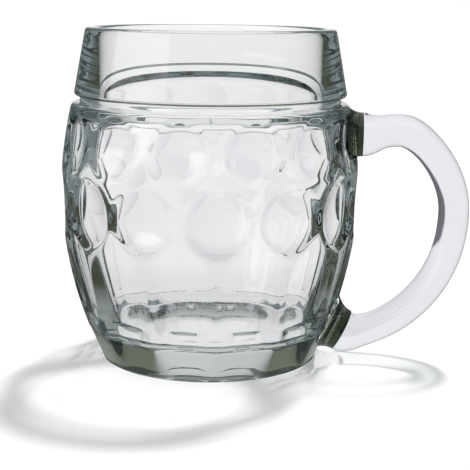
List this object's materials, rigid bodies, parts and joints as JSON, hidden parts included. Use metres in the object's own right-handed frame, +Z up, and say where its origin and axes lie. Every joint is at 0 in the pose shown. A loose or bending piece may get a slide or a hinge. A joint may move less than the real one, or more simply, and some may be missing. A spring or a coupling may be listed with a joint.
{
  "type": "dimpled glass beer mug",
  "caption": "Barrel-shaped glass beer mug with a conical collar, two staggered rows of round dimples that bulge into the inside, flutes, a faceted heel and a solid loop handle.",
  "frame": {"origin": "centre of the foot ring, on the table", "axes": "+Z up along the vessel's axis, +X out through the middle of the handle"},
  "size_m": [0.1484, 0.1078, 0.12],
  "materials": {
    "body_glass": "polished",
    "handle_glass": "polished"
  },
  "bodies": {
    "root": {"mug_body": "body_glass", "handle": "handle_glass"}
  },
  "joints": []
}
